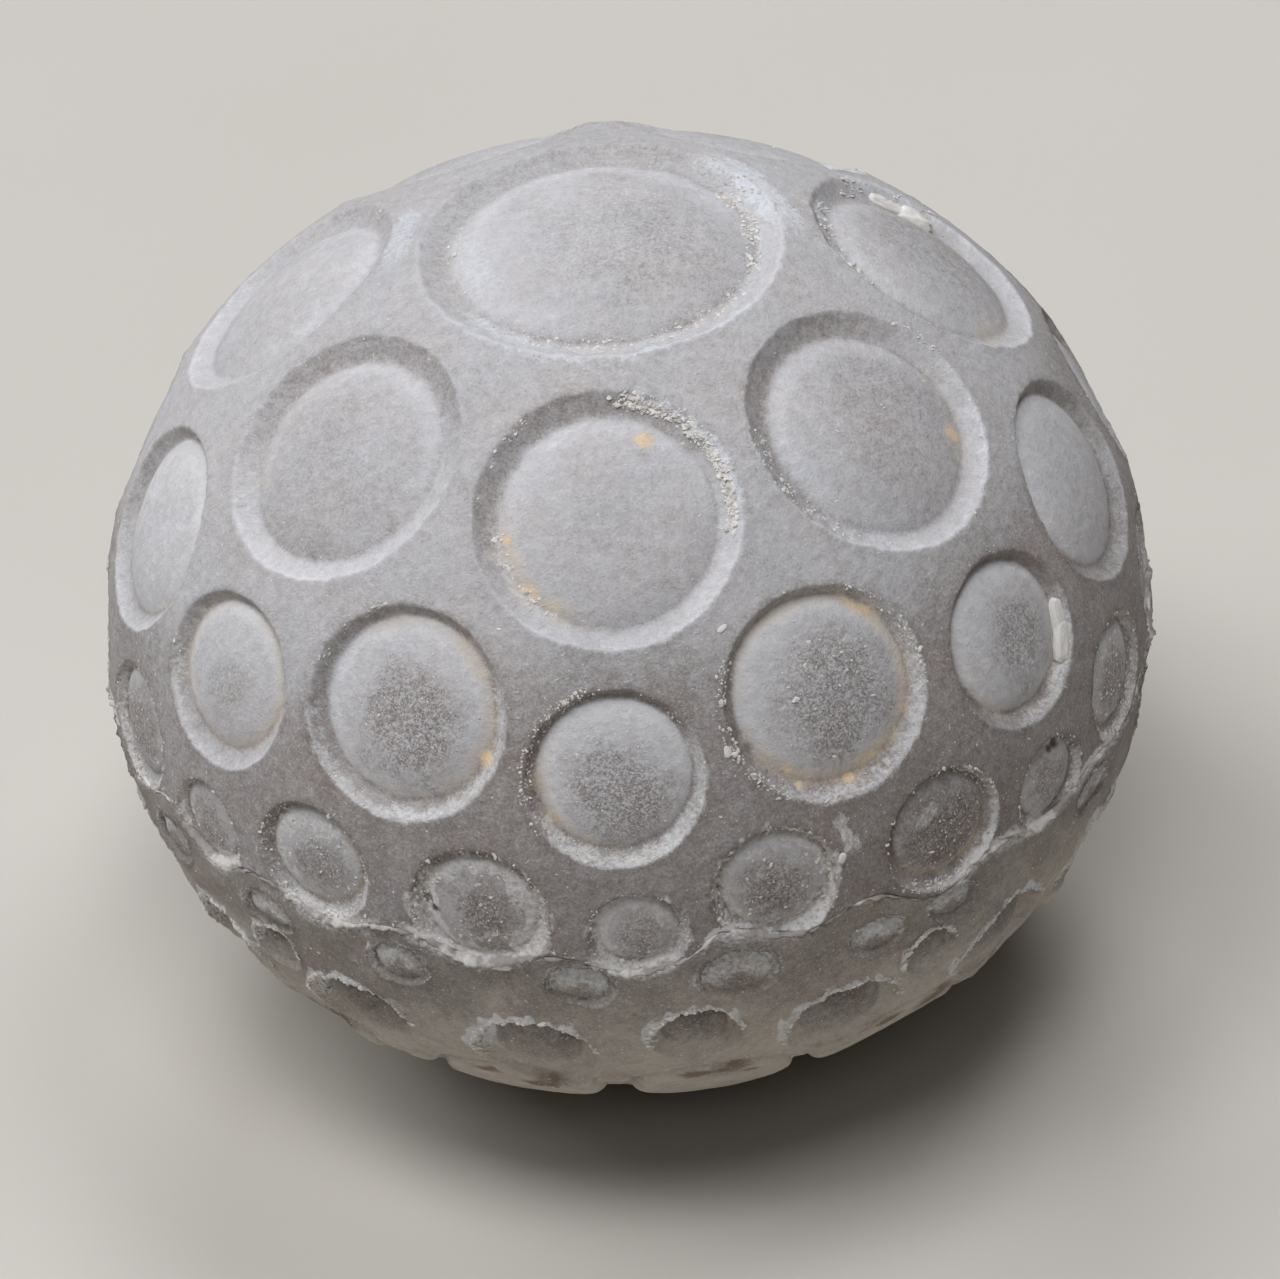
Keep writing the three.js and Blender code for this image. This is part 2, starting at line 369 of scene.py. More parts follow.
LEFT_SEAM_ROW = {
    0: dict(
        pits=((274, 0.77, 0.12), (262, 0.66, 0.07)), stain=(0.5, 325, 60), tone=0.5, soil=(0.9, 0.5, 0, 0),
        streaks=2.0, size=7.6, drop=1.0,
        dust=((1.1, 168, 62, 0.84, 1.02), (0.85, 0, 400, 0.62, 0.9), (0.9, 160, 30, 0.36, 0.46)),
        crumbs=(
            (245, 310, 0.7, 1.0, 110, 0.07), (320, 215, 0.86, 1.03, 230, 0.056), (0, 360, 0, 0.75, 60, 0.055),
        ),
    ),
    1: dict(
        stain=(0.8, 150, 90), frost=(0.8, 110, 110, 0.93), tone=0.45, soil=(0.9, 0.8, 150, 0.1), flakes=(),
        glow=0.2, dust=((0.7, 325, 32, 0.3, 0.55), (1.0, 100, 40, 0.92, 1.03)),
    ),
}
RIGHT_SEAM_ROW = {
    0: dict(
        flakes=((77, 1.07, 0.45, 0.3, 0.2, 30), (20, 0.99, 0.3, 0.2, 0.1, 80)), shift=-0.2, drop=-0.6,
        streaks=2.0,
        dust=(
            (1.0, 172, 60, 0.8, 1.0), (0.8, 62, 16, 1.2, 1.45), (0.6, 0, 400, 0.66, 0.88),
            (0.8, 100, 50, 0.9, 1.0),
        ),
    ),
    -1: dict(
        frost=(0.6, 190, 60, 0.88), soil=(0.8, 0.5, 120, 0.1), tone=0.6, streaks=2.0,
        dust=((0.55, -60, 150, 0.55, 0.84), (0.6, 120, 60, 0.9, 1.0)),
    ),
}
SMALL_SEAM_ROW = {
    0: dict(
        shift=0.75, size=5.3, drop=0.1, streaks=2.0,
        dust=((1.0, 178, 62, 0.76, 1.0), (0.65, 0, 400, 0.55, 0.88)),
    ),
    1: dict(pits=((27, 0.81, 0.12), (12, 0.7, 0.08)), frost=(0.8, 150, 90, 0.86)),
}


def upper_craters():
    craters = [
        crater(
            0, 0, 19.9, 0.67, tone=0.71, wall=0.155, rim_light=0.2, stain=(0.05, 150, 90),
            grit=(0.3, 120, 90), shade=0.42, glow=0.35, lit=0.1, soil=(0.4, 0.62, 75, 0.12),
            frost=(0.45, 85, 60, 0.84, 0.97), ring=0.06,
            dust=(
                (0.95, 62, 26, 0.93, 1.12), (0.7, 205, 40, 0.86, 0.94), (0.55, 262, 30, 0.62, 0.8),
                (0.8, 288, 14, 1.06, 1.2), (0.95, 175, 62, 0.975, 1.005),
            ),
            crumbs=(
                (52, 108, 0.83, 0.95, 190, 0.075), (118, 235, 0.86, 0.97, 220, 0.055),
                (225, 320, 0.82, 0.9, 40, 0.05), (40, 80, 0.95, 1.1, 60, 0.06),
            ),
        ),
    ]
    craters += row(
        SECTORS, 38.7, 14.2, 0.67, tone=0.66, soil=(0.15, 0.5, 100, 0.2), shade=0.9, wall=0.175, glow=0.3,
        halo=0.04, special=LARGE_ROW,
    )
    craters += row(
        SECTORS, 63.1, 11.35, 0.63, turn=0.5, tone=0.75, soil=(0.7, 0.5, 150, 0.08), wall=0.125, slip=0.45,
        glow=0.4, stain=(0.3, 150, 120), frost=(0.3, 190, 60, 0.88), halo=0.1, shade=1.2, special=MIDDLE_ROW,
    )
    craters += row(
        SECTORS, 68.5, 9.45, 0.6, tone=0.77, soil=(0.9, 0.5, 150, 0.1), stain=(0.3, 160, 90), wall=0.13,
        slip=0.45, frost=(0.5, 175, 65, 0.86), glow=0.45, halo=0.1, shade=1.25, special=LOW_ROW,
    )
    craters += row(
        SECTORS, 85.3, 7.2, 0.5, turn=-0.31, tone=0.6, wall=0.16, slip=0.5, soil=(0.9, 0.7, 0, 0), ring=0.12,
        halo=0.1, stain=(0.3, 315, 50), frost=(0.8, 185, 150, 0.88), grit=(0.4, 275, 60), glow=0.4,
        crumbs=(
            (0, 360, 0.88, 1.04, 180, 0.055), (150, 220, 0.88, 1.0, 80, 0.07), (0, 360, 0, 0.75, 45, 0.05),
        ),
        flakes=((165, 0.97, 0.9, 0.4, 0.16, 90),), special=LEFT_SEAM_ROW,
    )
    craters += row(
        SECTORS, 85.3, 7.0, 0.5, turn=0.31, tone=0.58, wall=0.16, slip=0.6, soil=(1.0, 0.62, 180, 0.02),
        ring=0.12, stain=(0.4, 180, 200), frost=(0.75, 180, 400, 0.9), grit=(0.4, 60, 60), halo=0.12,
        glow=0.3,
        crumbs=(
            (0, 360, 0.87, 1.02, 240, 0.055), (0, 360, 0, 0.8, 60, 0.058), (120, 215, 0.88, 1.0, 80, 0.06),
        ),
        special=RIGHT_SEAM_ROW,
    )
    craters += row(
        SECTORS, 88.7, 5.5, 0.42, tone=0.6, slip=0.6, soil=(0.8, 0.6, 0, 0), stain=(0.35, 300, 50),
        frost=(0.75, 180, 200, 0.88), grit=(0.4, 300, 60), ring=0.12, halo=0.1, glow=0.3,
        crumbs=(
            (0, 360, 0.86, 1.03, 170, 0.05), (130, 215, 0.86, 1.02, 70, 0.06), (0, 360, 0, 0.7, 30, 0.04),
        ),
        special=SMALL_SEAM_ROW,
    )
    return craters


def lower_craters():
    craters = row(
        SEAM_WAVES, 96.7, 3.7, 0.22, turn=0.5, centre=0.3, wall=0.24, tone=0.47, stain=(0.2, 180, 90),
        shade=1.2, frost=(0.75, 0, 130, 0.15, 0.86), dust=((0.6, -25, 110, 0.94, 1.05),), grit=(0.2, 180, 60),
        oval=1.25, lit=0.0, soil=(0.6, 0.5, 180, 0.45), streaks=2.0, halo=0.12, ring=0.1, lip=0.08,
        crumbs=((-110, 110, 0.85, 1.03, 34, 0.038),),
        special={
            -1: dict(shift=2.9, size=3.9), 0: dict(shift=2.6, size=4.7), 1: dict(shift=1.0, size=3.4),
            2: dict(shift=-6.5, size=3.2),
        },
    )
    for index in range(LOWER_DOMES):
        azimuth = LOWER_DOME_TURN + index * 360 / LOWER_DOMES
        craters.append(crater(
            127, azimuth, 10.2, 0.62, lean=-0.85, centre=0.0, edge=14.0, flat=0.2, wall=0.11, tone=0.7,
            stain=(0.2, 0, 50), soil=(0.9, 0.42 - 0.06 * (index % 4), 45 * (index % 3), 0.62),
            spots=(
                (-20, 0.66, 0.2), (12 + 20 * (index % 3), 0.72, 0.24), (40, 0.6, 0.1 + 0.05 * (index % 2)),
            ),
            frost=(0.3, 0, 90, 0.95, 1.03), grit=(0, 0, 60), crumbs=(), glow=0,
        ))
    for index in range(SECTORS):
        azimuth = LOWER_CAP_TURN + index * 360 / SECTORS
        craters.append(crater(
            148, azimuth, 10.9, 0.67, tone=0.5, stain=(0.1, 0, 60), soil=(0.4, 0.6, 0, 0.2), crumbs=(),
            glow=0,
        ))
    spacing = 360 / LOWER_ROW_COUNT
    for step in range(1 - LOWER_ROW_COUNT // 2, LOWER_ROW_COUNT // 2 + 1):
        azimuth = LOWER_PATTERN_TURN + step * spacing + LOWER_SHIFTS.get(step, 0)
        # Painted shade on the upper wall, and painted shadow with dirt high on the floor, under the white
        # fringe
        looks = dict(
            lean=0.95, centre=0.4, wall=0.26, tone=0.37, frost=(1.2, -24, 84, 0.8, 1.1), stain=(0, 0, 90),
            grit=(0, 0, 60), shade=1.6, dim_at=-5, soil=(0.5, 0.6, 0, 0.5), open=1.0, glow=0, streaks=2.0,
            lit=0.0, lip=0.08, dust=((1.0, -50, 40, 0.95, 1.15),),
            crumbs=(
                (-105, 10, 0.88, 1.08, 400, 0.068), (5, 80, 0.9, 1.06, 150, 0.055),
                (-60, 60, 0.7, 0.95, 40, 0.04),
            ),
        )
        if step % SMALL_EVERY == 0:
            craters.append(crater(107.8, azimuth, 4.9, 0.62, **looks))
        else:
            craters.append(crater(111.4, azimuth, 6.6, 0.7, **looks))
        if abs(step - 1) % SMALL_EVERY == 0:
            craters.append(crater(104, azimuth + spacing / 2, 3.3, 0.37, **looks))
    bottom = crater(180, 0, BOTTOM_CRATER_ANGLE, 1.1, centre=1.27, tone=0.45, grit=(0, 0, 60), crumbs=())
    craters.append(bottom)
    return craters


def seam_wave(azimuth):
    """Height of the parting line over its mean level: even waves, uneven swells, a torn step and a sag."""
    degrees = np.degrees((azimuth + np.pi) % (2 * np.pi) - np.pi)
    ring = round_equator(azimuth)
    waves = -SEAM_AMPLITUDE * np.cos(SEAM_WAVES * (azimuth - math.radians(PATTERN_TURN)))
    calm = 0.72 + 0.28 * noise(ring, 9.0, 71)
    swell = 0.22 * noise(ring, 7.0, 72) + 0.1 * noise(ring, 2.2, 73) + 0.045 * noise(ring, 0.6, 74)
    step = TORN_STEP * smooth(4.6, 7.6, degrees) * smooth(24, 12, degrees)
    sag = SAG * smooth(-26, -18, degrees) * smooth(6.5, 3.5, degrees)
    return waves * calm + swell + step - sag


def on_seam(azimuth, above=0.0):
    """Points of the spheroid that far above the parting line."""
    height = SEAM_LEVEL + seam_wave(azimuth) + above
    return on_spheroid(np.arccos(height / POLAR_RADIUS), azimuth)


def caked(azimuth):
    """How thick the dried cement and powder are along the parting line, from 0 to 1."""
    ring = round_equator(azimuth)
    cake = smooth(0.15, 0.6, noise(ring, 3.0, 75))
    for at, spread in SEAM_CAKES:
        cake = np.maximum(cake, lobe(azimuth, at, spread))
    return cake


# ---- weathered surface

def crater_place(c, points):
    """Which points lie near the crater, how far out each is as a share of its radius, its clock in radians,
    and the way from the crater's middle to it.
    """
    offset = points - c.place
    along = offset @ c.axis
    flat = offset - along[:, None] * c.axis
    distance = np.linalg.norm(flat, axis=1)
    near = np.nonzero((distance < 1.5 * c.radius) & (along > -0.6 * EQUATOR_RADIUS))[0]
    flat = flat[near]
    east, north = flat @ c.east, (flat @ c.north) * c.oval
    s = np.hypot(east, north) / c.radius
    return near, s, np.arctan2(east, north), flat / np.maximum(distance[near], 1e-6)[:, None]


def apart(s, clock, at, distance):
    """How far points are from the spot at that clock angle and distance, in crater radii."""
    east = s * np.sin(clock) - distance * math.sin(math.radians(at))
    north = s * np.cos(clock) - distance * math.cos(math.radians(at))
    return np.hypot(east, north)


def gathered(base, craters, hold):
    """Slides points along the surface towards the crater rims, so that the mesh is finest there."""
    slide = np.zeros_like(base)
    for c in craters:
        near, s, _, away = crater_place(c, base)
        reach = np.where(s < 1, GATHER_INSIDE, GATHER_OUTSIDE)
        move = (1 - s) * np.clip(1 - abs(1 - s) / reach, 0, 1) * GATHER * c.radius
        slide[near] += away * (move * hold[near])[:, None]
    return onto_spheroid(base + slide)


def lobe(clock, centre, spread):
    """1 at the centre clock angle, falling to 0 about spread degrees to either side."""
    away = abs((np.degrees(clock) - centre + 180) % 360 - 180)
    return smooth(spread * 1.35, spread * 0.55, away)


# Heights over the ball's middle, in mm, between which the surface gets rougher and blotchier downwards
LOW_DIRT = (9, -1)
PIT_DEPTH = 0.12
# How light the ridges are, from 0 to 1, and the polar angle where the dust of the upper half ends
DUSTY_TONE = 0.64
BARE_TONE = 0.38
BARE_FROM = 57
SEAM_TONE = 0.32
CREAM_TONE = 0.6


def upper_ridge(base, patch, blotch):
    """Tone and grains of the surface between the upper craters: dusty above, brown towards the seam."""
    polar = polar_degrees(base)
    left = smooth(0.25, 0.85, -base[:, 0] / EQUATOR_RADIUS)
    change = BARE_FROM + 15 * left
    low = smooth(change - 7, change + 5, polar + 4 * patch)
    right = smooth(0.1, 0.4, base[:, 0] / EQUATOR_RADIUS) * smooth(66, 76, polar)
    tone = DUSTY_TONE * (1 - low) + BARE_TONE * low - 0.05 * smooth(70, 90, polar) * (1 - left)
    tone += 0.05 * left - 0.09 * right
    tone += (0.03 + 0.05 * low) * blotch + 0.03 * patch
    grains = 0.02 + 0.16 * bell(polar - change, 6) + 0.1 * low
    return tone, grains


def lower_ridge(base, patch, blotch):
    """The lower half: brown along the seam, then cream, and darker underneath."""
    polar = polar_degrees(base)
    cream = smooth(97, 112, polar + 5 * patch)
    under = smooth(122, 150, polar)
    tone = SEAM_TONE * (1 - cream) + CREAM_TONE * cream - 0.16 * under + 0.13 * blotch + 0.07 * patch
    return tone, 0.04 + 0.08 * (1 - cream)


def ridge_drop(base):
    """How far the ridges between the low domes of the lower half lie under the spheroid."""
    polar = polar_degrees(base)
    return LOWER_DROP * smooth(113, 125, polar) * smooth(156, 140, polar)


def crater_depth(c, at, drop):
    """How much deeper than the ridge a crater makes each point: wall, groove, domed floor and raised rim."""
    full = c.depth * (1 + c.lean * np.minimum(at.s, 1) * np.cos(at.clock))
    into = np.clip((1 - at.s) / at.wall, -1, 1)
    wall = drop + (full - drop) * (1 - (1 - into) ** WALL_CURVE)
    inner = np.minimum(at.s / at.groove, 1)
    floor = full * (c.centre + (FLOOR_EDGE - c.centre) * inner ** c.edge)
    floor += c.flat * (1 - inner**2)
    cut = soft_min(soft_max(wall, drop, WALL_BLEND), floor, FLOOR_BLEND)
    rim = c.lip * bell(at.s - 1.02, 0.04) * (1 + 1.4 * at.fine)
    return np.where(at.s < 1.3, cut - drop, 0) - rim


def crater_tone(c, at, tone):
    """How light points are in and near a crater: floor, walls and edges, with painted light, shade and
    shadows.
    """
    inside = smooth(1.005, 0.985, at.s) * (1 - c.open * smooth(0.1, 0.8, -at.s * np.cos(at.clock)))
    # Painted shade on the upper wall, and painted light on the lower wall
    dim = lobe(at.clock, c.dim_at, 86) * c.shade * (1 + 0.35 * at.fine)
    up_wall = np.clip((at.s - at.groove) / at.wall, 0, 1)
    lit = lobe(at.clock, 150, 85) * (0.35 + 0.9 * up_wall)
    wall_tone = tone + c.lit * lit - 0.15 * dim
    floor_tone = c.tone + 0.04 * at.patch + (0.05 + 0.04 * at.low) * at.blotch
    floor_tone += (0.02 + 0.07 * at.low) * at.fine
    # Painted highlight: the floor's upper shoulder, and the floor towards the upper left, are lighter
    shoulder = bell(at.s - at.groove + 0.09, 0.08) * lobe(at.clock, -35, 120)
    floor_tone += c.glow * (0.35 * shoulder + 0.2 * at.s * np.cos(at.clock + 0.6))
    # Painted shade: a thin dark line in the groove on the lower right; then the darker groove round the floor
    line = bell(at.s - at.groove, 0.016) * lobe(at.clock, 140, 95) * 0.4 * c.glow
    line += bell(at.s - at.groove + 0.02, 0.045) * c.ring * (1 + 0.4 * at.fine)
    local = at.on_floor * floor_tone + (1 - at.on_floor) * wall_tone - line
    # Painted shadow on the ridge above the rim
    shadow = c.halo * bell(at.s - 1.03, 0.05) * lobe(at.clock, -30, 110) * (1 + 0.8 * at.fine)
    # Painted highlight on the lower rim's edge
    bright = c.rim_light * bell(at.s - 0.995, 0.013) * lobe(at.clock, 180, 110)
    return (tone - shadow) * (1 - inside) + inside * local + bright


def crater_grime_and_shadow(c, at):
    """The dark patch on the floor: worn grime, and in the lower craters also painted shadow under the rim."""
    amount, size, clock, offset = c.soil
    away = apart(at.s, at.clock, clock, offset) + 0.15 * at.blotch + 0.08 * at.fine
    return amount * smooth(size * 1.25, size * 0.45, away) * at.on_floor


def crater_frost(c, at):
    """White powder, in torn bands along the crater's edges."""
    torn = at.s + 0.05 * at.fine + 0.03 * at.blotch + 0.07 * c.streaks * at.streak
    frost = np.zeros(len(torn))
    for amount, clock, spread, start, end in ((*c.frost, 1.0)[:5], *c.dust):
        band = smooth(start - 0.03, start + 0.04, torn) * smooth(end + 0.05, end - 0.02, torn)
        frost = np.maximum(frost, amount * lobe(at.clock, clock, spread) * band * (0.8 + 0.35 * at.blotch))
    return frost


def crater_stain(c, at):
    """A tan ring round the floor, and the orange spots."""
    amount, clock, spread = c.stain
    ring = bell(at.s - at.groove + 0.03, 0.095)
    stain = amount * ring * lobe(at.clock, clock, spread) * (0.8 + 0.6 * at.blotch)
    for clock, distance, size in c.spots:
        spot = apart(at.s, at.clock, clock, distance) / size + 0.5 * at.fine
        stain = np.maximum(stain, 1.2 * smooth(1.3, 0.4, spot))
    return stain


def crater_grit(c, at):
    """Grains along the rim."""
    amount, clock, spread = c.grit
    return amount * lobe(at.clock, clock, spread) * bell(at.s - 1.0, 0.06)


def weathered(base, normal, craters, seed, side):
    """Moves points of the spheroid to the worn, cratered surface, and gives each its looks."""
    drop = ridge_drop(base)
    depth = drop.copy()
    wobble = 0.009 * noise(base, 3.0, seed) + 0.008 * noise(base, 1.1, seed + 1)
    wobble += 0.008 * noise(base, 0.45, seed + 2) + 0.005 * noise(base, 0.22, seed + 17)
    patch = fractal(base, 6.0, seed + 3)
    blotch = fractal(base, 1.6, seed + 6)
    fine = fractal(base, 0.5, seed + 9)
    streak = noise(base * np.array([1, 1, 0.3]), 0.35, seed + 18)
    low = smooth(*LOW_DIRT, base[:, 2])
    tone, grit = (upper_ridge if side > 0 else lower_ridge)(base, patch, blotch)
    frost, grime_and_shadow, stain = np.zeros((3, len(base)))
    for c in craters:
        near, s, clock, _ = crater_place(c, base)
        # Where each near point is in the crater, and the noise there
        at = SimpleNamespace(s=s * (1 + wobble[near]), clock=clock, patch=patch[near], blotch=blotch[near])
        at.fine, at.streak, at.low = fine[near], streak[near], low[near]
        at.wall = c.wall * (1 - c.slip * np.cos(clock))
        at.groove = 1 - at.wall
        at.on_floor = smooth(at.groove + 0.03, at.groove - 0.04, at.s + 0.015 * at.fine)
        depth[near] += crater_depth(c, at, drop[near])
        tone[near] = crater_tone(c, at, tone[near])
        grime_and_shadow[near] = np.maximum(grime_and_shadow[near], crater_grime_and_shadow(c, at))
        frost[near] = np.maximum(frost[near], crater_frost(c, at))
        stain[near] = np.maximum(stain[near], crater_stain(c, at))
        grit[near] = np.maximum(grit[near], crater_grit(c, at))
        for pit_at, distance, size in c.pits:
            hole = smooth(1.3, 0.5, apart(at.s, clock, pit_at, distance) / size + 0.6 * at.fine)
            tone[near] -= 0.6 * hole
            frost[near] *= 1 - hole
            depth[near] += PIT_DEPTH * hole
    rough = 0.014 * fine + 0.01 * noise(base, 0.22, seed + 12)
    crumbly = np.clip(frost + 0.8 * grit, 0, 1.2) * (1 + low)
    rough += crumbly * (0.03 * noise(base, 0.3, seed + 13) + 0.022 * noise(base, 0.16, seed + 14))
    swell = 0.035 * noise(base, 7.0, seed + 15) + 0.015 * noise(base, 2.2, seed + 16)
    if side < 0:
        swell += 0.16 * noise(base, 1.9, seed + 21) * smooth(-11, -6, base[:, 2])
    fields = dict(frost=frost, grime_and_shadow=grime_and_shadow, stain=stain, tone=np.clip(tone, 0, 1), grit=np.clip(grit, 0, 1))
    return base + normal * (rough + swell - depth)[:, None], fields


# ---- meshes

def square_rings(rings):
    """A square grid seen as rings: the ring number and the turn round it of every grid point."""
    line = np.arange(-rings, rings + 1)
    i, k = np.meshgrid(line, line, indexing="ij")
    ring = np.maximum(abs(i), abs(k))
    safe_i = np.where(i == 0, 1, i)
    safe_k = np.where(k == 0, 1, k)
    along_i = np.pi / 4 * k / safe_i + np.where(i < 0, np.pi, 0)
    along_k = np.pi / 2 - np.pi / 4 * i / safe_k + np.where(k < 0, np.pi, 0)
    turn = np.where(abs(i) >= abs(k), along_i, along_k)
    return ring.ravel(), turn.ravel()


def grid_index(rings):
    size = 2 * rings + 1
    return np.arange(size * size).reshape(size, size)


def grid_faces(rings):
    index = grid_index(rings)
    quads = np.stack([index[:-1, :-1], index[1:, :-1], index[1:, 1:], index[:-1, 1:]], -1)
    return quads.reshape(-1, 4)


def edge_loop(rings):
    """The grid's outermost points in order round the edge."""
    index = grid_index(rings)
    return np.concatenate([index[:-1, 0], index[-1, :-1], index[:0:-1, -1], index[0, :0:-1]])


def make_mesh(name, points, faces, fields=None, smooth_shading=True):
    mesh = bpy.data.meshes.new(name)
    mesh.from_pydata((points * MM).tolist(), [], faces)
    mesh.validate()
    mesh.update()
    if smooth_shading:
        mesh.polygons.foreach_set("use_smooth", [True] * len(mesh.polygons))
    for field, values in (fields or {}).items():
        attribute = mesh.attributes.new(field, "FLOAT", "POINT")
        attribute.data.foreach_set("value", values.astype(np.float32))
    mesh.transform(Matrix.Translation(CENTRE))
    return add_object(name, mesh)


def ring_shares(rings, arc):
    """How far each ring is from the pole to the edge, from 0 to 1, with the last few close together."""
    plain = rings - EDGE_RINGS
    edge = EDGE_RINGS * EDGE_STEP / arc
    inner = np.linspace(0, 1 - edge, plain + 1)
    outer = np.linspace(1 - edge, 1, EDGE_RINGS + 1)[1:]
    return np.concatenate([inner, outer])


def cover_half(name, side, craters, seed, proud):
    """side is 1 for the upper half and -1 for the lower one. proud lifts the edge at the seam, in mm."""
    ring, turn = square_rings(RINGS)
    seam_height = SEAM_LEVEL + seam_wave(turn)
    edge_polar = np.arccos(side * seam_height / POLAR_RADIUS)
    mean_polar = math.acos(side * SEAM_LEVEL / POLAR_RADIUS)
    arc = mean_polar * EQUATOR_RADIUS
    share = ring_shares(RINGS, arc)[ring]
    polar = share * mean_polar + (edge_polar - mean_polar) * smooth(0.93, 1.0, share)
    even = on_spheroid(polar if side > 0 else np.pi - polar, turn)
    to_edge = (1 - share) * arc
    base = gathered(even, craters, smooth(0.1, 1.2, to_edge))
    normal = outward(base)
    points, fields = weathered(base, normal, craters, seed, side)
    lift = proud * smooth(1.2, 0.1, to_edge) - 0.12 * smooth(0.14, 0.0, to_edge) ** 2
    lift += 0.06 * fractal(base, 0.8, seed + 20) * smooth(0.9, 0.15, to_edge)
    crust = smooth(0.85, 0.2, to_edge + 0.25 * fractal(base, 0.6, seed + 22)) * caked(turn)
    fields["frost"] = np.maximum(fields["frost"], (1.0 if side > 0 else 0.5) * crust)
    points += normal * lift[:, None]
    points[:, 2] = np.maximum(points[:, 2], LAND_LEVEL)
    # The inside: the parting face, then a plain coarse cup
    coarse = RINGS // COARSE
    ring, turn = square_rings(coarse)
    scale = (EQUATOR_RADIUS - COVER_THICKNESS) / EQUATOR_RADIUS
    polar = ring / coarse * mean_polar
    inner = on_spheroid(polar if side > 0 else np.pi - polar, turn) * scale
    edge = ring == coarse
    inner[edge, 2] += seam_wave(turn[edge]) * scale
    outer_loop = edge_loop(RINGS)[::side].tolist()
    inner_loop = (edge_loop(coarse)[::side] + len(points)).tolist()
    faces = grid_faces(RINGS)[:, ::side].tolist()
    faces += (grid_faces(coarse)[:, ::-side] + len(points)).tolist() + bridge(outer_loop, inner_loop)
    points = np.concatenate([points, inner])
    padded = {key: np.concatenate([value, np.full(len(inner), 0.5)]) for key, value in fields.items()}
    return make_mesh(name, points, faces, padded)


def unit_ball(subdivisions):
    """Points and triangles of a round ball of radius 1."""
    shape = bmesh.new()
    bmesh.ops.create_icosphere(shape, subdivisions=subdivisions, radius=1.0)
    points = np.array([vert.co for vert in shape.verts])
    faces = np.array([[vert.index for vert in face.verts] for face in shape.faces])
    shape.free()
    return points, faces


def lumps(ball, places, normal, along, sizes, uneven, random):
    """A lumpy stone at each place. along is its long direction; sizes are its three half lengths."""
    points, faces = ball
    along = along - normal * (along * normal).sum(1)[:, None]
    along /= np.linalg.norm(along, axis=1)[:, None]
    aside = np.cross(normal, along)
    made = np.tile(points, (len(places), 1))
    shift = np.repeat(random.uniform(-40, 40, (len(places), 3)), len(points), axis=0)
    made *= (1 + uneven * noise(made + shift, 0.9, 5) + 0.5 * uneven * noise(made + shift, 0.35, 6))[:, None]
    made = made.reshape(len(places), len(points), 3) * sizes[:, None, :]
    turned = made[..., :1] * along[:, None] + made[..., 1:2] * aside[:, None]
    turned += made[..., 2:] * normal[:, None]
    turned += (places + 0.25 * normal * sizes[:, 2:])[:, None]
    offsets = np.arange(len(places)) * len(points)
    return turned.reshape(-1, 3), (faces[None] + offsets[:, None, None]).reshape(-1, 3)


def near_crater(c, clock, distance):
    """Points of the spheroid at these clocks, in degrees, and distances, in radii, from a crater."""
    clock = np.radians(clock)
    sideways = np.sin(clock)[:, None] * c.east + np.cos(clock)[:, None] * c.north / c.oval
    return onto_spheroid(c.place + sideways * (distance * c.radius)[:, None])


def crater_crumbs(craters, random):
    """Places on the spheroid and sizes of the crumbs that the craters' looks ask for, in loose clumps."""
    bases, sizes = [], []
    for c in craters:
        for first, last, nearest, farthest, count, size in c.crumbs:
            last = last if last > first else last + 360
            count = count
            clump = random.uniform(first, last, max(count // CLUMP, 1))
            clock = clump[random.integers(0, len(clump), count)]
            clock += random.normal(0, CLUMP_SPREAD * (last - first), count)
            distance = np.sqrt(random.uniform(nearest**2, farthest**2, count))
            bases.append(near_crater(c, clock, distance))
            sizes.append(size * random.lognormal(-0.25, 0.45, count))
    return bases, sizes


def loose_crumbs(side, random):
    """The same for crumbs strewn over the whole half."""
    count = LOOSE_CRUMBS
    polar = np.radians(random.uniform(*LOOSE_BANDS[side], count))
    base = on_spheroid(polar, random.uniform(-np.pi, np.pi, count))
    return base, CRUMB_SIZE * random.lognormal(0, 0.4, count)


def seam_crumbs(random):
    """The same for crumbs just above the parting line, where it is caked."""
    azimuth = random.uniform(-np.pi, np.pi, SEAM_CRUMBS)
    base = on_seam(azimuth, random.uniform(0.16, 0.5, SEAM_CRUMBS))
    base = base[noise(base, 1.6, 93) + caked(azimuth) > 0.25]
    return base, SEAM_CRUMB_SIZE * random.lognormal(-0.1, 0.4, len(base))


def flakes(craters, seed, side, random):
    """The large chips that lie in single craters, each a block with round edges."""
    ball, faces = unit_ball(4)
    block = ball / (BLOCK_SHARE * abs(ball).max(1) + 1 - BLOCK_SHARE)[:, None], faces
    for c in craters:
        for clock, distance, length, width, thickness, turn in c.flakes:
            base = near_crater(c, np.array([clock]), np.array([distance]))
            normal = outward(base)
            place = weathered(base, normal, craters, seed, side)[0]
            sideways = math.cos(math.radians(turn)) * c.north + math.sin(math.radians(turn)) * c.east
            half = np.array([[length, width, thickness]]) / 2
            yield lumps(block, place, normal, sideways[None], half, 0.13, random)


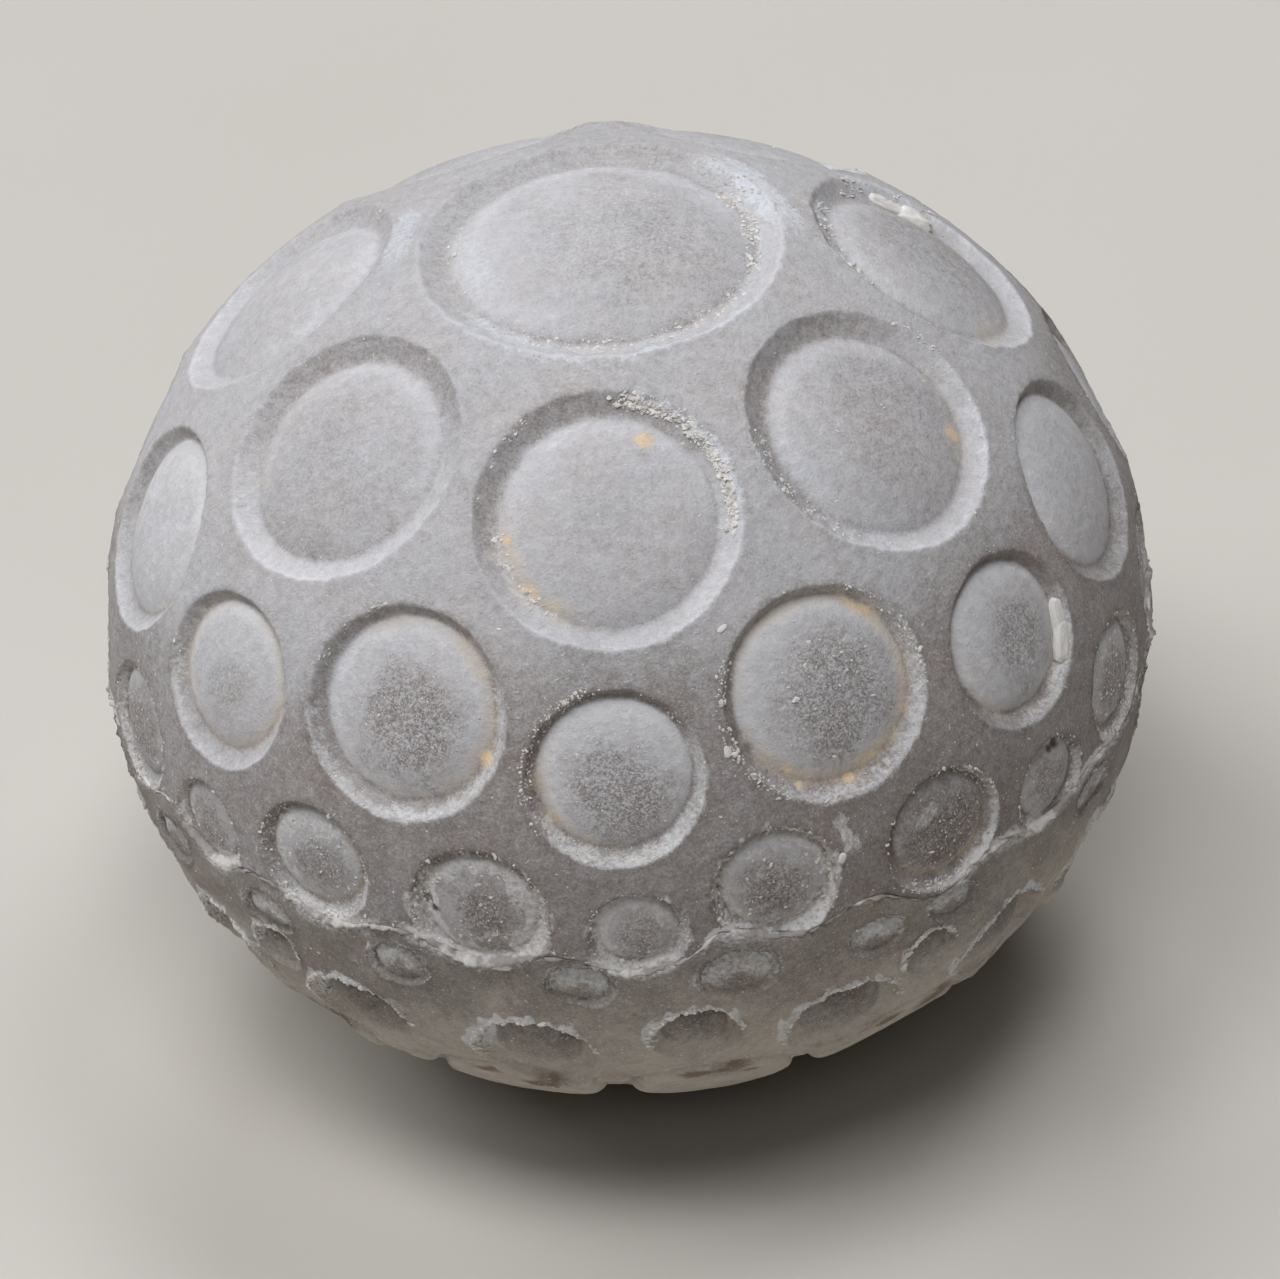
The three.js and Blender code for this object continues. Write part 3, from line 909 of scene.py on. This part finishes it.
def crumb_layer(name, craters, seed, side):
    """The crumbs and chips that are stuck to one cover half, as one piece."""
    random = np.random.default_rng(seed)
    bases, sizes = crater_crumbs(craters, random)
    loose, loose_size = loose_crumbs(side, random)
    base = np.concatenate([*bases, loose])
    size = np.clip(np.concatenate([*sizes, loose_size]), SMALLEST_CRUMB, LARGEST_CRUMB)
    if side > 0:
        seam, seam_size = seam_crumbs(random)
        base, size = np.concatenate([base, seam]), np.concatenate([size, seam_size])
    over_seam = base[:, 2] - SEAM_LEVEL - seam_wave(np.arctan2(base[:, 0], -base[:, 1]))
    clear = side * over_seam > 0.15
    base, size = base[clear], size[clear]
    count = len(base)
    normal = outward(base)
    places = weathered(base, normal, craters, seed, side)[0]
    along = random.normal(0, 1, base.shape)
    shares = [np.ones(count), random.uniform(0.45, 0.9, count), random.uniform(0.25, 0.5, count)]
    half = np.stack(shares, -1) * size[:, None]
    points, faces = lumps(unit_ball(2), places, normal, along, half, 0.6, random)
    tint = np.repeat(random.uniform(0, 1, count), len(points) // count)
    for more, ends in flakes(craters, seed, side, random):
        faces = np.concatenate([faces, ends + len(points)])
        points = np.concatenate([points, more])
        tint = np.concatenate([tint, np.full(len(more), FLAKE_TINT)])
    return make_mesh(name, points, faces.tolist(), {"tint": tint}, smooth_shading=False)


def bridge(fine, coarse):
    """Joins two closed loops of different counts with triangles, matching them by their share round."""
    faces = []
    i = k = 0
    while i < len(fine) or k < len(coarse):
        a, b = fine[i % len(fine)], coarse[k % len(coarse)]
        if i < len(fine) and (i + 1) / len(fine) <= (k + 1) / len(coarse):
            i += 1
            faces.append((a, b, fine[i % len(fine)]))
        else:
            k += 1
            faces.append((a, b, coarse[k % len(coarse)]))
    return faces


# ---- materials

SOCKETS = {
    "base": "Base Color", "roughness": "Roughness", "specular": "Specular IOR Level", "sheen": "Sheen Weight",
    "sheen_roughness": "Sheen Roughness", "normal": "Normal",
}


class Nodes:
    """A short way to build a material's node tree."""

    def __init__(self, name):
        self.material = bpy.data.materials.new(name)
        self.material.use_nodes = True
        self.tree = self.material.node_tree
        self.surface = self.tree.nodes["Principled BSDF"]

    def add(self, kind, inputs=None, **settings):
        node = self.tree.nodes.new(kind)
        for key, value in settings.items():
            setattr(node, key, value)
        for key, value in (inputs or {}).items():
            self.set(node.inputs[key], value)
        return node

    def set(self, socket, value):
        if isinstance(value, bpy.types.NodeSocket):
            self.tree.links.new(value, socket)
        else:
            socket.default_value = value

    def finish(self, **looks):
        """Sets the shader's own sockets and gives back the material."""
        for key, value in looks.items():
            self.set(self.surface.inputs[SOCKETS[key]], value)
        return self.material

    def field(self, name):
        return self.add("ShaderNodeAttribute", attribute_name=name).outputs["Fac"]

    def place(self):
        return self.add("ShaderNodeTexCoord").outputs["Object"]

    def grain(self, size, detail=3.0, roughness=0.6):
        """Noise with features about size millimetres across."""
        inputs = {"Vector": self.place(), "Scale": 1 / (size * MM), "Detail": detail, "Roughness": roughness}
        return self.add("ShaderNodeTexNoise", inputs).outputs["Fac"]

    def math(self, operation, a, b):
        return self.add("ShaderNodeMath", {0: a, 1: b}, operation=operation).outputs[0]

    def sum(self, first, *others):
        for other in others:
            first = self.math("ADD", first, other)
        return first

    def swing(self, noise, amount):
        """Noise as a change from -amount to amount."""
        return self.remap(noise, 0.3, 0.7, -amount, amount)

    def remap(self, value, low, high, out_low=0.0, out_high=1.0):
        inputs = {"Value": value, "From Min": low, "From Max": high, "To Min": out_low, "To Max": out_high}
        return self.add("ShaderNodeMapRange", inputs).outputs["Result"]

    def mix(self, factor, a, b, blend="MIX"):
        inputs = {"Factor": factor, "A": a, "B": b}
        return self.add("ShaderNodeMix", inputs, data_type="RGBA", blend_type=blend).outputs["Result"]

    def ramp(self, value, tints, *places):
        """The value as a colour between the tints. places are those of the middle ones."""
        node = self.add("ShaderNodeValToRGB", {"Fac": value})
        elements = node.color_ramp.elements
        elements[0].color, elements[1].color = colour(*tints[0]), colour(*tints[-1])
        for place, tint in zip(places, tints[1:-1]):
            elements.new(place).color = colour(*tint)
        return node.outputs["Color"]

    def bump(self, height, distance, strength=1.0, normal=None):
        inputs = {"Height": height, "Distance": distance * MM, "Strength": strength}
        if normal is not None:
            inputs["Normal"] = normal
        return self.add("ShaderNodeBump", inputs).outputs["Normal"]


def colour(red, green, blue):
    """sRGB from 0 to 255, as the linear colour that a shader takes."""
    linear = []
    for value in (red, green, blue):
        share = value / 255
        linear.append(share / 12.92 if share <= 0.04045 else ((share + 0.055) / 1.055) ** 2.4)
    return (*linear, 1.0)


# The heights, in metres, between which the powder of the upper half gets whiter
WHITENING = (22 * MM, 34 * MM)


def cover_material(name, tones, white, warm_white, tan, orange, roughness):
    """Dusty rubber. tones runs from bare dark rubber to thick dust, and also gives the painted shade and
    light in the craters; white is the powder, warmer low down.
    """
    n = Nodes(name)
    speckle = n.grain(0.13, detail=4.0, roughness=0.8)
    medium = n.grain(0.45, detail=3.0)
    cloud = n.grain(2.4, detail=3.0)
    # Speckled rubber, darker in flecks over worn grime and over the painted shadow high in the lower craters
    bare = n.math("SUBTRACT", 1.5, n.field("tone"))
    specked = n.math("MULTIPLY", n.swing(speckle, 0.175), bare)
    tone = n.sum(n.field("tone"), specked, n.swing(medium, 0.09), n.swing(cloud, 0.03))
    flecks = n.remap(n.grain(0.15, detail=3.0, roughness=0.7), 0.38, 0.62, 0.0, 1.5)
    darkened = n.math("MULTIPLY", n.field("grime_and_shadow"), flecks)
    tone = n.math("SUBTRACT", tone, n.math("MULTIPLY", darkened, 0.34))
    look = n.ramp(tone, tones, 0.35, 0.6, 0.85)
    hue = n.remap(n.grain(3.6, detail=3.0), 0.3, 0.7)
    look = n.mix(0.35, look, n.mix(hue, colour(255, 248, 243), colour(244, 250, 255)), "MULTIPLY")
    # Stains
    stain_noise = n.grain(0.9, detail=4.0)
    stain = n.field("stain")
    broken = n.sum(stain_noise, n.math("MULTIPLY", n.math("SUBTRACT", speckle, 0.5), 0.7))
    blotted = n.sum(stain, n.swing(broken, 0.35))
    gate = n.remap(stain, 0.02, 0.2)
    look = n.mix(n.math("MULTIPLY", n.remap(blotted, 0.1, 0.9, 0.0, 0.62), gate), look, tan)
    look = n.mix(n.math("MULTIPLY", n.remap(blotted, 0.85, 1.2, 0.0, 0.8), gate), look, orange)
    # Powder and single grains
    powder = n.swing(n.grain(0.2, detail=4.0, roughness=0.75), 0.38)
    frost = n.remap(n.sum(n.field("frost"), powder), 0.25, 0.85, 0.0, 0.85)
    height = n.add("ShaderNodeSeparateXYZ", {"Vector": n.place()}).outputs["Z"]
    white = n.mix(n.remap(height, *WHITENING), warm_white, white)
    look = n.mix(frost, look, white)
    share = n.sum(n.field("grit"), n.math("MULTIPLY", n.field("grime_and_shadow"), 0.35))
    edge = n.remap(share, 0.0, 1.0, 0.72, 0.575)
    small = n.grain(0.15, detail=1.5, roughness=0.4)
    grains = n.remap(n.math("SUBTRACT", small, edge), 0.0, 0.04)
    look = n.mix(n.math("MULTIPLY", grains, 0.65), look, white)
    # The feel of the surface
    rough = n.remap(speckle, 0.2, 0.8, roughness - 0.06, roughness + 0.06)
    normal = n.bump(speckle, 0.08, 0.7)
    normal = n.bump(medium, 0.09, 0.7, normal)
    normal = n.bump(n.sum(grains, frost), 0.05, 0.6, normal)
    n.finish(base=look, roughness=rough, specular=0.22, normal=normal)
    return n.finish(sheen=0.12, sheen_roughness=0.55)


def crumb_material():
    """Dried white crumbs and chips, each a little lighter or browner than the next."""
    n = Nodes("pale_crumbs")
    look = n.ramp(n.field("tint"), ((198, 191, 183), (226, 222, 216), (240, 238, 234)), 0.4)
    look = n.mix(n.remap(n.grain(0.12), 0.35, 0.65, 0.0, 0.25), look, colour(190, 182, 173))
    return n.finish(base=look, roughness=0.9, specular=0.2, normal=n.bump(n.grain(0.06), 0.02, 0.5))


def cement_material():
    """Dried rubber cement: grey-brown where it is thin, pale where it is caked."""
    n = Nodes("dried_cement")
    cake = n.math("MULTIPLY", n.field("cake"), 0.12)
    white = n.sum(n.grain(2.2, detail=2.0), n.swing(n.grain(0.3), 0.08), cake)
    look = n.mix(n.remap(white, 0.5, 0.62), colour(156, 150, 145), colour(218, 215, 210))
    look = n.mix(n.remap(n.grain(0.25), 0.35, 0.65, 0.0, 0.5), look, colour(176, 169, 163))
    return n.finish(base=look, roughness=0.8, normal=n.bump(n.grain(0.2, detail=3.0), 0.06, 0.8))


def plain_rubber(name, base, speck, speck_size, roughness):
    """Moulded rubber that was never weathered, for the layers inside."""
    n = Nodes(name)
    grain = n.grain(speck_size, detail=3.0)
    look = n.mix(n.remap(grain, 0.56, 0.68), base, speck)
    rough = n.remap(grain, 0.2, 0.8, roughness - 0.08, roughness + 0.08)
    return n.finish(base=look, roughness=rough, normal=n.bump(n.grain(0.4), 0.03, 0.5))


def floor_material():
    n = Nodes("table_top")
    streaks = n.grain(60, detail=2.0)
    base = n.mix(n.remap(streaks, 0.3, 0.7), colour(200, 195, 186), colour(204, 199, 191))
    return n.finish(base=base, roughness=0.55)


# ---- stage and lights

LAMP_SIZE = 0.45
LAMP_DISTANCE = 1.3
LAMP_TINT = (0.985, 0.995, 1.03)


def make_stage():
    bpy.ops.mesh.primitive_plane_add(size=3.0, location=(0, 0, 0))
    floor = bpy.context.object
    floor.name = "table"
    floor.data.materials.append(floor_material())


def area_light(name, azimuth, elevation, watts):
    light = bpy.data.lights.new(name, "AREA")
    light.shape = "DISK"
    light.size = LAMP_SIZE
    light.energy = watts
    light.color = LAMP_TINT
    lamp = add_object(name, light)
    lamp.location = direction(azimuth, elevation) * LAMP_DISTANCE
    lamp.rotation_euler = (CENTRE - lamp.location).to_track_quat("-Z", "Y").to_euler()


def make_lights():
    world = bpy.data.worlds.new("studio")
    world.use_nodes = True
    world.node_tree.nodes["Background"].inputs["Strength"].default_value = 0.0
    bpy.context.scene.world = world
    area_light("high_front_light", 0, 70, 4.6)
    area_light("high_left_light", -60, 70, 4.5)
    area_light("high_back_light", 120, 70, 3.2)
    area_light("left_light", -90, 45, 2.6)
    area_light("back_left_light", -120, 45, 2.7)
    area_light("back_light", 180, 45, 2.7)
    area_light("front_light", 0, 45, 1.0)


# ---- pieces

def finish_piece(piece, node, material):
    piece.data.materials.append(material)
    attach(piece, "root")
    if node:
        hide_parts(node)


# The colours of each half, from bare dark rubber to thick dust; the painted shade and light in the craters
# use them too
UPPER_TONES = ((112, 101, 94), (157, 150, 147), (190, 187, 187), (211, 210, 212), (228, 227, 228))
LOWER_TONES = ((106, 97, 90), (154, 146, 140), (189, 181, 171), (211, 204, 193), (228, 223, 213))


def make_covers():
    warm = colour(233, 231, 229)
    white, tan, orange = colour(228, 231, 236), colour(215, 200, 176), colour(240, 210, 170)
    upper_look = cover_material("dusted_grey_rubber", UPPER_TONES, white, warm, tan, orange, 0.86)
    white, tan, orange = colour(236, 239, 242), colour(146, 128, 108), colour(120, 101, 84)
    lower_look = cover_material("dusted_cream_rubber", LOWER_TONES, white, white, tan, orange, 0.84)
    crumb_look = crumb_material()
    above, below = upper_craters(), lower_craters()
    upper = cover_half("upper_cover_skin", 1, above, UPPER_SEED, proud=0.0)
    finish_piece(upper, "cover_upper_half", upper_look)
    lower = cover_half("lower_cover_skin", -1, below, LOWER_SEED, proud=0.06)
    finish_piece(lower, "cover_lower_half", lower_look)
    finish_piece(crumb_layer("upper_crumbs", above, UPPER_SEED, 1), None, crumb_look)
    finish_piece(crumb_layer("lower_crumbs", below, LOWER_SEED, -1), None, crumb_look)


def make_flash():
    """The squeezed-out bond line: a thin ring with a ragged edge that follows the parting line."""
    steps = SEAM_WAVES * 110
    turn = np.linspace(0, 2 * np.pi, steps, endpoint=False)
    base = on_seam(turn)
    normal = outward(base)
    ragged = 0.02 + 0.15 * np.clip(noise(base, 1.3, 90), 0, 1)
    ragged = ragged + 0.1 * noise(base, 0.35, 91) + 0.07 * noise(base, 0.16, 98)
    thick = 0.025 + 0.08 * np.clip(noise(base, 1.5, 92), 0, 1) + 0.045 * noise(base, 0.3, 93)
    cake = caked(turn) * np.clip(0.7 + 0.9 * fractal(base, 0.7, 94) + 0.5 * noise(base, 0.22, 97), 0, 2)
    ragged += 0.09 * cake
    thick += 0.13 * cake
    section = [(-1.2, -1.0), (-0.1, -1.0), (1.0, -0.45), (1.0, 0.45), (-0.1, 1.0), (-1.2, 1.0)]
    points = []
    faces = []
    index = np.arange(steps)
    for r, (reach, side) in enumerate(section):
        out = ragged * reach if reach > 0 else np.full(steps, reach)
        points.append(base + normal * out[:, None])
        points[-1][:, 2] += side * thick
        here, there = r * steps + index, (r + 1) % len(section) * steps + index
        faces += np.stack([here, np.roll(here, -1), np.roll(there, -1), there], -1).tolist()
    points = np.concatenate(points)
    flash = make_mesh("seam_flash", points, faces, {"cake": np.tile(cake, len(section))})
    finish_piece(flash, "seam_bond_ring", cement_material())


def finish_inside():
    ground = plain_rubber("ground_rubber", colour(62, 64, 68), colour(120, 122, 126), 0.5, 0.6)
    mantle = plain_rubber("mantle_rubber", colour(196, 188, 168), colour(214, 208, 192), 1.2, 0.5)
    looks = {"core": ground, "mantle_upper_half": mantle, "mantle_lower_half": mantle}
    for node, material in looks.items():
        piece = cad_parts[node]
        piece.data.materials.clear()
        piece.data.materials.append(material)


bpy.context.scene.view_settings.view_transform = "Standard"
make_camera()
make_stage()
make_lights()
make_covers()
make_flash()
finish_inside()
